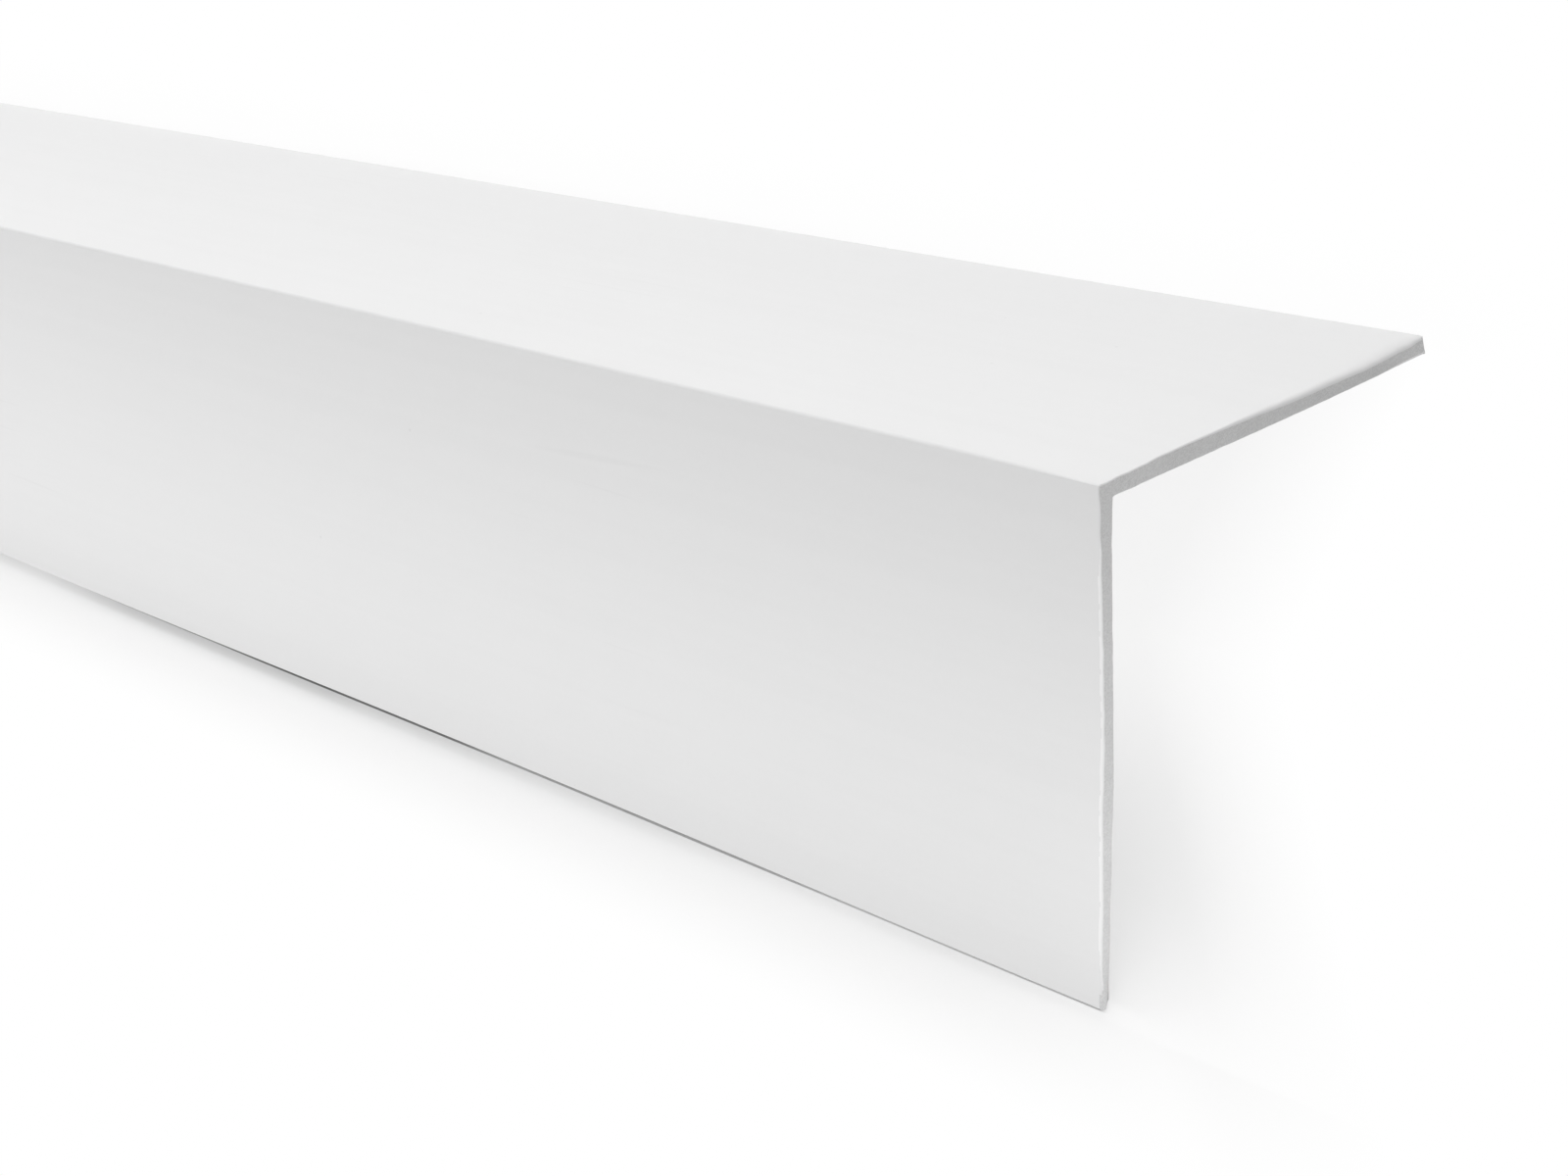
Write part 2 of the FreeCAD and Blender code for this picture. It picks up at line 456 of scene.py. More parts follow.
class Nodes:
    """Short calls for building a node tree from left to right."""

    def __init__(self, tree: bpy.types.NodeTree) -> None:
        """Start on an emptied tree."""
        self.tree = tree
        self.tree.nodes.clear()

    def feed(self, socket: bpy.types.NodeSocket, value: object) -> None:
        """Link an output to an input, or set the input to a plain value."""
        if isinstance(value, bpy.types.NodeSocket):
            self.tree.links.new(value, socket)
        else:
            socket.default_value = value

    def add(self, kind: str, inputs: dict[str | int, object] | None = None,
            **settings: object) -> bpy.types.Node:
        """Add a node, set its properties, and feed its inputs.

        Args:
            kind: Blender's name of the node type.
            inputs: for each input's name or number, a value or the output that feeds it.
            settings: properties of the node itself.

        Returns:
            The new node.
        """
        node = self.tree.nodes.new(kind)
        for name, value in settings.items():
            setattr(node, name, value)
        for name, value in (inputs or {}).items():
            self.feed(node.inputs[name], value)
        return node

    def math(self, operation: str, first: object, second: object = 0.0,
             clamp: bool = False) -> bpy.types.NodeSocket:
        """Add a sum, product or other plain operation and return its output."""
        node = self.add("ShaderNodeMath", {0: first, 1: second}, operation=operation, use_clamp=clamp)
        return node.outputs[0]

    def weigh(self, first: object, first_share: float, second: object,
              second_share: float) -> bpy.types.NodeSocket:
        """Add two values, each times its own share, and return the sum."""
        return self.math("ADD", self.math("MULTIPLY", first, first_share),
                         self.math("MULTIPLY", second, second_share))

    def mix_values(self, share: object, first: object, second: object) -> bpy.types.NodeSocket:
        """Go from the first value to the second as the share goes from 0 to 1."""
        node = self.add("ShaderNodeMix", {0: share, 2: first, 3: second}, data_type="FLOAT")
        return node.outputs[0]

    def mix_colours(self, share: object, first: object, second: object) -> bpy.types.NodeSocket:
        """Go from the first colour to the second as the share goes from 0 to 1."""
        node = self.add("ShaderNodeMix", {0: share, 6: first, 7: second}, data_type="RGBA")
        return node.outputs[2]

    def map_range(self, value: object, low: object, high: object, to_low: object = 0.0,
                  to_high: object = 1.0, smooth: bool = True) -> bpy.types.NodeSocket:
        """Map a value from one range to another and return the result, clamped."""
        node = self.add("ShaderNodeMapRange", {
            "Value": value, "From Min": low, "From Max": high, "To Min": to_low, "To Max": to_high},
            interpolation_type="SMOOTHSTEP" if smooth else "LINEAR")
        return node.outputs["Result"]

    def curve(self, value: object, knots: Knots) -> bpy.types.NodeSocket:
        """Read the smooth curve of along_knots at a value and return the result."""
        total = knots[0][1]
        for (low, first), (high, second) in zip(knots, knots[1:]):
            total = self.math("ADD", total, self.map_range(value, low, high, 0.0, second - first))
        return total

    def noise(self, vector: object, scale: object, detail: float = 2.0,
              roughness: float = 0.5) -> bpy.types.NodeSocket:
        """Add a noise pattern and return its value, which lies about 0.5.

        Args:
            vector: the coordinates.
            scale: features per metre: a value, an output, or three values for the axes.
            detail: how many finer patterns are laid over it.
            roughness: how strong those are.

        Returns:
            The pattern's value.
        """
        if isinstance(scale, tuple):
            vector, scale = self.stretched(vector, scale), 1.0
        node = self.add("ShaderNodeTexNoise", {
            "Vector": vector, "Scale": scale, "Detail": detail, "Roughness": roughness})
        return node.outputs[0]

    def stretched(self, vector: object, scale: tuple[float, float, float]) -> bpy.types.NodeSocket:
        """Scale coordinates along each axis and return them."""
        return self.add("ShaderNodeMapping", {"Vector": vector, "Scale": scale}).outputs[0]

    def group(self, tree: bpy.types.NodeTree, **inputs: object) -> bpy.types.Node:
        """Place a node group; each keyword is an input's name with _ for a space."""
        node = self.add("ShaderNodeGroup")
        node.node_tree = tree
        for name, value in inputs.items():
            self.feed(node.inputs[name.replace("_", " ")], value)
        return node


class SocketKind(Enum):
    """The kinds of socket that the effect groups have."""

    VALUE = "NodeSocketFloat"
    VECTOR = "NodeSocketVector"


class Effect:
    """A shader node group with named inputs and outputs."""

    def __init__(self, name: str, inputs: dict[str, SocketKind], outputs: dict[str, SocketKind]) -> None:
        """Make the group and its sockets.

        Args:
            name: the group's name.
            inputs: the kind of each input.
            outputs: the kind of each output.
        """
        self.tree = bpy.data.node_groups.new(name, "ShaderNodeTree")
        for label, kind in inputs.items():
            self.tree.interface.new_socket(label, in_out="INPUT", socket_type=kind.value)
        for label, kind in outputs.items():
            self.tree.interface.new_socket(label, in_out="OUTPUT", socket_type=kind.value)
        self.nodes = Nodes(self.tree)
        self.given = self.nodes.add("NodeGroupInput").outputs
        self.result = self.nodes.add("NodeGroupOutput").inputs

    def put_out(self, **results: bpy.types.NodeSocket) -> bpy.types.NodeTree:
        """Link the outputs; each keyword is an output's name with _ for a space."""
        for name, socket in results.items():
            self.tree.links.new(socket, self.result[name.replace("_", " ")])
        return self.tree


def leg_coordinates(nodes: Nodes, vector: object) -> bpy.types.NodeSocket:
    """Turn row coordinates into the stock's own: along it, across a leg from its middle, and through it.

    Args:
        nodes: the tree to build in.
        vector: the row coordinates.

    Returns:
        The stock's coordinates, in metres, shifted along it so that the legs differ.
    """
    x, y, z = nodes.add("ShaderNodeSeparateXYZ", {"Vector": vector}).outputs
    diagonal = math.sqrt(0.5)
    off_ridge = nodes.math("ABSOLUTE", y)
    across = nodes.math("MULTIPLY", nodes.math("SUBTRACT", off_ridge, z), diagonal)
    through = nodes.math("MULTIPLY", nodes.math("ADD", off_ridge, z), diagonal)
    shift = nodes.math("MULTIPLY", nodes.math("SIGN", y), LEG_OFFSET)
    return nodes.add("ShaderNodeCombineXYZ", {
        "X": nodes.math("ADD", x, shift), "Y": across, "Z": through}).outputs[0]


def extrusion_lines() -> bpy.types.NodeTree:
    """Faint straight lines that the die leaves along the stock."""
    effect = Effect("Extrusion lines", {
        "Vector": SocketKind.VECTOR, "Fineness": SocketKind.VALUE},
        {"Height": SocketKind.VALUE, "Shade": SocketKind.VALUE})
    nodes, given = effect.nodes, effect.given
    stock = leg_coordinates(nodes, given["Vector"])
    broad = nodes.noise(stock, scale=(1.2, 420.0, 90.0), detail=3.0)
    fine = nodes.noise(stock, scale=(5.0, 2600.0, 400.0))
    height = nodes.math("ADD", broad, nodes.math("MULTIPLY", fine, given["Fineness"]))
    return effect.put_out(Height=height, Shade=nodes.map_range(broad, *NOISE_SPREAD))


def mottle() -> bpy.types.NodeTree:
    """Cloudy unevenness of the plastic's skin, broad in tone and fine in relief."""
    effect = Effect("Mottle", {"Vector": SocketKind.VECTOR, "Grain": SocketKind.VALUE},
                    {"Shade": SocketKind.VALUE, "Height": SocketKind.VALUE})
    nodes, given = effect.nodes, effect.given
    cloud = nodes.noise(given["Vector"], scale=60.0, detail=4.0, roughness=0.6)
    grain = nodes.noise(given["Vector"], scale=given["Grain"], detail=3.0, roughness=0.6)
    shade = nodes.weigh(cloud, 0.6, grain, 0.4)
    return effect.put_out(Shade=nodes.map_range(shade, *NOISE_SPREAD), Height=grain)


def specks() -> bpy.types.NodeTree:
    """A few tiny specks of dust and dark filler, in loose flocks."""
    cells_per_metre, flocks_per_metre = 700.0, 45.0
    flock_edge, flock_odds, rarity = (0.4, 0.75), (0.9, 1.04), 0.975
    effect = Effect("Specks", {"Vector": SocketKind.VECTOR, "Size": SocketKind.VALUE},
                    {"Mask": SocketKind.VALUE})
    nodes, given = effect.nodes, effect.given
    cells = nodes.add("ShaderNodeTexVoronoi", {"Vector": given["Vector"], "Scale": cells_per_metre})
    chosen = nodes.add("ShaderNodeTexWhiteNoise", {
        "Vector": cells.outputs["Position"]}).outputs["Value"]
    flock = nodes.noise(given["Vector"], flocks_per_metre)
    odds = nodes.math("MULTIPLY", chosen, nodes.map_range(flock, *flock_edge, *flock_odds))
    rare = nodes.math("GREATER_THAN", odds, rarity)
    reach = nodes.math("MULTIPLY", given["Size"], chosen)
    near = nodes.math("LESS_THAN", cells.outputs["Distance"], reach)
    return effect.put_out(Mask=nodes.math("MULTIPLY", rare, near))


def scuffs() -> bpy.types.NodeTree:
    """Short, faint rub marks, mostly along the stock."""
    stroke_edge, patch_edge = (0.66, 0.74), (0.52, 0.66)
    effect = Effect("Scuffs", {"Vector": SocketKind.VECTOR}, {"Mask": SocketKind.VALUE})
    nodes = effect.nodes
    stock = leg_coordinates(nodes, effect.given["Vector"])
    bend = nodes.add("ShaderNodeTexNoise", {"Vector": stock, "Scale": 22.0, "Detail": 1.0})
    bent = nodes.add("ShaderNodeVectorMath", {
        0: nodes.stretched(stock, (28.0, 1500.0, 60.0)), 1: bend.outputs["Color"]}, operation="ADD")
    strokes = nodes.noise(bent.outputs[0], scale=1.0, detail=1.0)
    patches = nodes.noise(stock, scale=16.0)
    return effect.put_out(Mask=nodes.math(
        "MULTIPLY", nodes.map_range(strokes, *stroke_edge), nodes.map_range(patches, *patch_edge)))


def streak() -> bpy.types.NodeTree:
    """One long, faint, dull streak on the front leg, beside the end that the picture shows."""
    along, across, outside = 435.5 * MM, -15.9 * MM, 25.8 * MM
    half_length, half_width, slant, core = 12.5 * MM, 0.5 * MM, math.radians(-3.4), 0.3
    effect = Effect("Streak", {"Vector": SocketKind.VECTOR}, {"Mask": SocketKind.VALUE})
    nodes = effect.nodes
    fitted = nodes.add("ShaderNodeMapping", {
        "Vector": leg_coordinates(nodes, effect.given["Vector"]),
        "Location": (along - LEG_OFFSET, across, outside), "Rotation": (0.0, 0.0, slant),
        "Scale": (half_length, half_width, 1.0)}, vector_type="TEXTURE").outputs[0]
    off = nodes.add("ShaderNodeVectorMath", {0: fitted}, operation="LENGTH").outputs["Value"]
    return effect.put_out(Mask=nodes.map_range(off, core, 1.0, 1.0, 0.0))


def saw_marks() -> bpy.types.NodeTree:
    """Scratches that the saw's teeth leave across a cut, with crumbs between them."""
    slant, stroke_height, shaded = math.radians(28), 0.6, (0.6, 1.0)
    effect = Effect("Saw marks", {"Vector": SocketKind.VECTOR},
                    {"Height": SocketKind.VALUE, "Shade": SocketKind.VALUE})
    nodes = effect.nodes
    turned = nodes.add("ShaderNodeMapping", {
        "Vector": effect.given["Vector"], "Rotation": (slant, 0.0, 0.0)}).outputs[0]
    strokes = nodes.noise(turned, scale=(1800.0, 1800.0, 6500.0), detail=3.0)
    crumbs = nodes.noise(turned, scale=7000.0)
    height = nodes.math("ADD", nodes.math("MULTIPLY", strokes, stroke_height), crumbs)
    return effect.put_out(Height=height, Shade=nodes.map_range(height, *shaded))


@dataclass(frozen=True)
class Effects:
    """The shared effect groups, built once."""

    lines: bpy.types.NodeTree
    mottle: bpy.types.NodeTree
    specks: bpy.types.NodeTree
    scuffs: bpy.types.NodeTree
    saw: bpy.types.NodeTree
    streak: bpy.types.NodeTree

    @classmethod
    def build(cls) -> "Effects":
        """Build every group."""
        return cls(extrusion_lines(), mottle(), specks(), scuffs(), saw_marks(), streak())


def grey(value: float) -> tuple[float, float, float, float]:
    """An opaque neutral colour."""
    return (value, value, value, 1.0)


@dataclass(frozen=True)
class Finish:
    """What the finishes of the plastic have in common.

    Attributes:
        effects: the shared effect groups.
        name: the material's name.
        white: how much light the plastic gives back.
        shade_range: how far its unevenness darkens it.
        roughness: how rough it is.
        gloss: strength of its reflections.
        refraction: its index of refraction.
        relief: height of its fine relief.
        grain: fineness of its mottle, in features per metre.
    """

    effects: Effects
    name: str
    white: float
    shade_range: float
    roughness: float
    gloss: float
    relief: float
    grain: float
    refraction: float = 1.5

    def surface(self, nodes: Nodes, place: bpy.types.NodeSocket) -> tuple[object, object, object]:
        """Work out what the finish shows at each place.

        Args:
            nodes: the material's tree.
            place: the piece's own coordinates.

        Returns:
            The colour, the roughness and the height of the relief.
        """
        raise NotImplementedError

    def toned(self, nodes: Nodes, uneven: object) -> bpy.types.NodeSocket:
        """The plastic's white, darker where the unevenness is lower."""
        return nodes.mix_colours(uneven, grey(self.white - self.shade_range), grey(self.white))

    def build(self) -> bpy.types.Material:
        """Build the material."""
        material = bpy.data.materials.new(self.name)
        material.use_nodes = True
        nodes = Nodes(material.node_tree)
        place = nodes.add("ShaderNodeTexCoord").outputs["Object"]
        colour, roughness, height = self.surface(nodes, place)
        bump = nodes.add("ShaderNodeBump", {
            "Strength": 1.0, "Distance": self.relief, "Height": height})
        shader = nodes.add("ShaderNodeBsdfPrincipled", {
            "Base Color": colour, "Roughness": roughness, "IOR": self.refraction,
            "Specular IOR Level": self.gloss, "Normal": bump.outputs[0]})
        nodes.add("ShaderNodeOutputMaterial", {"Surface": shader.outputs[0]})
        return material


@dataclass(frozen=True)
class MouldedPvc(Finish):
    """The satin skin of extruded white PVC.

    Attributes:
        roughness_range, dull_range: how much the roughness varies, and the dullness over which it does.
        line_fineness: strength of the finer extrusion lines.
        grain_height: height of the mottle's relief, beside that of the lines.
        scuff_share, streak_share, mark_tone: strength of the scuffs and of the streak, and their tone
            beside that of the skin.
        speck_size, speck_share, speck_tone: size, strength and tone of the specks.
    """

    name: str = "white_pvc_skin"
    white: float = 0.86
    shade_range: float = 0.02
    roughness: float = 0.46
    gloss: float = 0.4
    relief: float = 0.004 * MM
    grain: float = 1900.0
    roughness_range: float = 0.12
    dull_range: tuple[float, float] = (0.2, 1.6)
    line_fineness: float = 0.35
    grain_height: float = 0.4
    scuff_share: float = 0.10
    streak_share: float = 0.11
    mark_tone: float = 0.8
    speck_size: float = 0.13
    speck_share: float = 0.25
    speck_tone: float = 0.62

    def surface(self, nodes: Nodes, place: bpy.types.NodeSocket) -> tuple[object, object, object]:
        """Lay lines, mottle, scuffs, the streak and specks over the skin.

        Args:
            nodes: the material's tree.
            place: the piece's own coordinates.

        Returns:
            The colour, the roughness and the height of the relief.
        """
        lines = nodes.group(self.effects.lines, Vector=place, Fineness=self.line_fineness).outputs
        cloud = nodes.group(self.effects.mottle, Vector=place, Grain=self.grain).outputs
        dust = nodes.group(self.effects.specks, Vector=place, Size=self.speck_size).outputs["Mask"]
        scuffed = nodes.group(self.effects.scuffs, Vector=place).outputs["Mask"]
        streaked = nodes.group(self.effects.streak, Vector=place).outputs["Mask"]

        uneven = nodes.weigh(lines["Shade"], 0.5, cloud["Shade"], 0.5)
        marks = nodes.math("MAXIMUM", nodes.math("MULTIPLY", scuffed, self.scuff_share),
                           nodes.math("MULTIPLY", streaked, self.streak_share))
        colour = nodes.mix_colours(marks, self.toned(nodes, uneven), grey(self.white * self.mark_tone))
        dust = nodes.math("MULTIPLY", dust, self.speck_share)
        colour = nodes.mix_colours(dust, colour, grey(self.speck_tone))
        roughness = nodes.map_range(nodes.math("ADD", uneven, scuffed), *self.dull_range,
                                    self.roughness, self.roughness + self.roughness_range)
        height = nodes.weigh(lines["Height"], 1.0, cloud["Height"], self.grain_height)
        return colour, roughness, height


@dataclass(frozen=True)
class PaintedHighlightPvc(MouldedPvc):
    """Painted highlight: paler skin along the rubbed arrises at a cut, which stands in for the bright
    line that light makes on them.
    """

    name: str = "white_pvc_painted_highlight"
    # Painted highlight: whiter than the skin's 0.86.
    white: float = 0.97


@dataclass(frozen=True)
class SawnPvc(Finish):
    """The duller face that a saw leaves across the plastic.

    Attributes:
        stroke_share, grain_share: how much the saw's strokes and the mottle make of its unevenness.
        grain_height: height of the mottle's relief, beside that of the strokes.
    """

    name: str = "white_pvc_sawn"
    white: float = 0.80
    shade_range: float = 0.18
    roughness: float = 0.65
    gloss: float = 0.3
    relief: float = 0.018 * MM
    grain: float = 2600.0
    stroke_share: float = 0.6
    grain_share: float = 0.4
    grain_height: float = 0.5

    def surface(self, nodes: Nodes, place: bpy.types.NodeSocket) -> tuple[object, object, object]:
        """Lay the saw's strokes and mottle over the cut.

        Args:
            nodes: the material's tree.
            place: the piece's own coordinates.

        Returns:
            The colour, the roughness and the height of the relief.
        """
        marks = nodes.group(self.effects.saw, Vector=place).outputs
        cloud = nodes.group(self.effects.mottle, Vector=place, Grain=self.grain).outputs
        uneven = nodes.weigh(marks["Shade"], self.stroke_share, cloud["Shade"], self.grain_share)
        height = nodes.weigh(marks["Height"], 1.0, cloud["Height"], self.grain_height)
        return self.toned(nodes, uneven), self.roughness, height


class Face(Enum):
    """The finishes on the stock, by their place in the piece's list of materials."""

    SKIN = 0
    SAWN = 1
    # Painted highlight: a paler copy of the skin on the arrises by the cuts.
    RUBBED = 2


@dataclass
class CornerGuard:
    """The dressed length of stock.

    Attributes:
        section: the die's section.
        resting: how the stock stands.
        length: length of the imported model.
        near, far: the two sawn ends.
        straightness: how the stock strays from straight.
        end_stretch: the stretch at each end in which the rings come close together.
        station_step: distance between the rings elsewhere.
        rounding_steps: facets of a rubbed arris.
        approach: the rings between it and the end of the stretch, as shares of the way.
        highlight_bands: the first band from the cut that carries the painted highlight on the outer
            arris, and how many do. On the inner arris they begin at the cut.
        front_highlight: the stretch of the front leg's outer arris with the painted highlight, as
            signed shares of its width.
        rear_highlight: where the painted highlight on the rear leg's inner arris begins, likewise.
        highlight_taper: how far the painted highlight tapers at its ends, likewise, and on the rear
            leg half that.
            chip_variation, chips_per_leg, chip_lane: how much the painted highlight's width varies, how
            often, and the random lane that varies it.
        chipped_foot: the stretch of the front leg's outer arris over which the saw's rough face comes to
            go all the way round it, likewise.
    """

    section: Section
    resting: Resting
    length: float
    near: SawnEnd
    far: SawnEnd
    straightness: Straightness
    end_stretch: float = 6 * MM
    station_step: float = 9 * MM
    rounding_steps: int = 7
    approach: tuple[float, ...] = (0.02, 0.06, 0.14, 0.28, 0.5, 0.75)
    # Painted highlight: where the arrises by the cuts get the paler finish.
    highlight_bands: tuple[int, float] = (3, 4.2)
    front_highlight: tuple[float, float] = (-0.95, -0.10)
    rear_highlight: float = 0.90
    highlight_taper: float = 0.08
    chip_variation: float = 0.25
    chips_per_leg: float = 60
    chip_lane: float = 9.0
    chipped_foot: tuple[float, float] = (-0.955, -0.985)

    def __post_init__(self) -> None:
        """Lay out the loop of spots round the section, and the stretches that lift off the floor."""
        self.outside, self.inside = self.section.outside(), self.section.inside()
        self.front_tip, self.rear_tip = self.section.front_tip(), self.section.rear_tip()
        self.loop = self.outside + self.rear_tip + self.inside[::-1] + self.front_tip[::-1]
        self.front_humps = self.straightness.humps(-1, self.length)
        self.rear_humps = self.straightness.humps(+1, self.length)

    def ridge_end(self, end: SawnEnd) -> float:
        """Place of the ridge's end along the stock, in the die frame of the near end."""
        if end.side > 0:
            return 0.0
        return -(self.length - self.near.setback - end.setback)

    def strayed(self, spot: Spot, x: float, y: float, z: float) -> Vector:
        """Move a point of the straight stock to where the real one has it.

        Args:
            spot: the point's place on the section.
            x: its place along the stock, zero at the near end of the ridge.
            y, z: its place across the stock.

        Returns:
            The point in the row frame.
        """
        distance = -x + self.near.setback
        tipward = smoothstep(self.straightness.bend_from, 1.0, abs(spot.along))
        swell = self.straightness.wave(spot, distance)
        if spot.along < 0:
            from_end = min(distance, self.length - distance)
            spread = along_knots(self.straightness.spread, from_end) * tipward / math.sqrt(2)
            z += self.straightness.lift(self.front_humps, distance) * tipward - spread
            y -= swell + spread
        else:
            y -= self.straightness.lift(self.rear_humps, distance) * tipward
            z += swell - self.near.worn(spot, distance) - self.far.worn(spot, self.length - distance)
        return self.resting.matrix @ Vector((x, y, z))

    def rounded_rings(self, end: SawnEnd) -> list[list[tuple[float, float, float]]]:
        """Rings that roll from a cut over its rubbed arris to the straight stock.

        Args:
            end: the sawn end.

        Returns:
            The rings from the cut inwards, as x, y and z in the die frame for each spot of the loop.
        """
        rings = []
        limit = self.ridge_end(end) - end.side * self.end_stretch
        for step in range(self.rounding_steps + 1):
            angle = RIGHT_ANGLE * (1 - step / self.rounding_steps)
            ring = []
            for spot in self.loop:
                length, drop = end.rubbed(spot, self.section.leg)
                cut = self.ridge_end(end) + end.side * end.overhang(spot, self.section.leg)
                sunk = drop * (1 - math.cos(angle))
                ring.append((cut - end.side * length * (1 - math.sin(angle)),
                             spot.y - spot.normal[0] * sunk, spot.z - spot.normal[1] * sunk))
            rings.append(ring)
        last = rings[-1]
        for share in self.approach:
            rings.append([(lerp(x, limit, share), y, z) for x, y, z in last])
        return rings

    def straight_rings(self) -> list[list[tuple[float, float, float]]]:
        """Rings of the stretch between the two ends, from the near one."""
        start = -self.end_stretch
        stop = self.ridge_end(self.far) + self.end_stretch
        count = round((start - stop) / self.station_step)
        places = [lerp(start, stop, step / count) for step in range(count + 1)]
        return [[(x, spot.y, spot.z) for spot in self.loop] for x in places]

    def close_cut(self, mesh: bmesh.types.BMesh, ring: list[bmesh.types.BMVert]) -> None:
        """Fill a cut with a grid of quads, column by column across the wall.

        Args:
            mesh: the mesh to fill in.
            ring: the vertices round the cut, in the order of the loop.
        """
        columns, rows = len(self.outside), len(self.front_tip)
        outer, rest = ring[:columns], ring[columns:]
        rear, rest = rest[:rows], rest[rows:]
        inner, front = rest[:columns][::-1], rest[columns:][::-1]
        grid = [[outer[0], *front, inner[0]]]
        for column in range(1, columns - 1):
            line = [outer[column]]
            for row in range(1, rows + 1):
                place = outer[column].co.lerp(inner[column].co, row / (rows + 1))
                line.append(mesh.verts.new(place))
            grid.append(line + [inner[column]])
        grid.append([outer[-1], *rear, inner[-1]])
        for near_line, far_line in zip(grid, grid[1:]):
            for row in range(rows + 1):
                near_pair, far_pair = near_line[row:row + 2], far_line[row:row + 2]
                face = mesh.faces.new((*near_pair, *reversed(far_pair)))
                face.material_index = Face.SAWN.value

    def is_painted_highlight(self, spot: Spot, band: int) -> bool:
        """Whether the face beside a spot carries the painted highlight, a paler finish.

        Args:
            spot: the place on the section.
            band: the place among the bands, counted from the nearer cut.

        Returns:
            True for a face with the painted highlight.
        """
        first, count = self.highlight_bands
        low, high = self.front_highlight
        if spot.depth == 0:
            reach = smoothstep(low, low + self.highlight_taper, spot.along)
            reach *= smoothstep(high, high - self.highlight_taper, spot.along)
        else:
            first = 0
            reach = smoothstep(self.rear_highlight, self.rear_highlight + self.highlight_taper / 2, spot.along)
        chips = chance(spot.along * self.chips_per_leg, self.chip_lane, self.near.seed)
        count *= reach * (1 + self.chip_variation * chips)
        return first <= band < first + count and spot.depth in (0, 1)

    def is_chipped(self, spot: Spot, band: int) -> bool:
        """Whether the face beside a spot, in a band counted likewise, is rough from the saw."""
        reach = smoothstep(*self.chipped_foot, spot.along)
        return spot.depth == 0 and band < self.rounding_steps * reach

    def build(self) -> bpy.types.Object:
        """Build the mesh of the whole length.

        Returns:
            The piece, in the row frame.
        """
        mesh = bmesh.new()
        rings = self.rounded_rings(self.near) + self.straight_rings()
        rings += self.rounded_rings(self.far)[::-1]
        made = [
            [mesh.verts.new(self.strayed(spot, *place)) for spot, place in zip(self.loop, ring)]
            for ring in rings
        ]
        count = len(self.loop)
        for band, (first, second) in enumerate(zip(made, made[1:])):
            for place in range(count):
                following = (place + 1) % count
                face = mesh.faces.new((first[place], first[following], second[following], second[place]))
                spot, from_cut = self.loop[place], min(band, len(made) - 2 - band)
                # Painted highlight on the arrises by the cuts; the saw's rough face at the front foot.
                if self.is_painted_highlight(spot, from_cut):
                    face.material_index = Face.RUBBED.value
                elif self.is_chipped(spot, from_cut):
                    face.material_index = Face.SAWN.value
        self.close_cut(mesh, made[0])
        self.close_cut(mesh, made[-1])
        bmesh.ops.recalc_face_normals(mesh, faces=mesh.faces)
        for face in mesh.faces:
            face.smooth = True
        data = bpy.data.meshes.new("corner_guard_stock")
        mesh.to_mesh(data)
        mesh.free()
        piece = bpy.data.objects.new("corner_guard_stock", data)
        bpy.context.collection.objects.link(piece)
        return piece

    def dress(self, piece: bpy.types.Object, effects: Effects) -> None:
        """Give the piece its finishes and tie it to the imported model.

        Args:
            piece: the built piece.
            effects: the shared effect groups.
        """
        finishes = {Face.SKIN: MouldedPvc, Face.SAWN: SawnPvc, Face.RUBBED: PaintedHighlightPvc}
        for face in Face:
            piece.data.materials.append(finishes[face](effects).build())
        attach(piece, BODY)
        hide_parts(NODE)


@dataclass(frozen=True)
class PhotoCamera:
    """The picture's camera, placed in the die frame by its angles and its distance from the ridge's end.

    Attributes:
        place: where it stands.
        yaw: how far it looks round from +Y towards -X.
        pitch: how far it looks down.
        roll: how far it is turned about its own axis.
        lens, sensor: focal length and sensor width in millimetres.
        clip: the nearest and the farthest distance that it shows.
    """

    place: tuple[float, float, float] = (114.116 * MM, -147.831 * MM, 66.419 * MM)
    yaw: float = math.radians(45.742)
    pitch: float = math.radians(21.739)
    roll: float = math.radians(-4.010)
    lens: float = 55.31
    sensor: float = 36.0
    clip: tuple[float, float] = (0.01, 20.0)

    def build(self, resting: Resting) -> bpy.types.Object:
        """Make the camera and look through it.

        Args:
            resting: how the die frame lies in the row frame.

        Returns:
            The camera.
        """
        ahead = Vector((-math.sin(self.yaw) * math.cos(self.pitch),
                        math.cos(self.yaw) * math.cos(self.pitch), -math.sin(self.pitch)))
        level = Vector((math.cos(self.yaw), math.sin(self.yaw), 0.0))
        upright = level.cross(ahead)
        right = level * math.cos(self.roll) + upright * math.sin(self.roll)
        up = upright * math.cos(self.roll) - level * math.sin(self.roll)
        turn = Matrix((right, up, -ahead)).transposed().to_4x4()
        data = bpy.data.cameras.new("camera")
        data.lens, data.sensor_width = self.lens, self.sensor
        data.clip_start, data.clip_end = self.clip
        camera = bpy.data.objects.new("camera", data)
        camera.matrix_world = resting.matrix @ Matrix.Translation(Vector(self.place)) @ turn
        bpy.context.collection.objects.link(camera)
        bpy.context.scene.camera = camera
        return camera


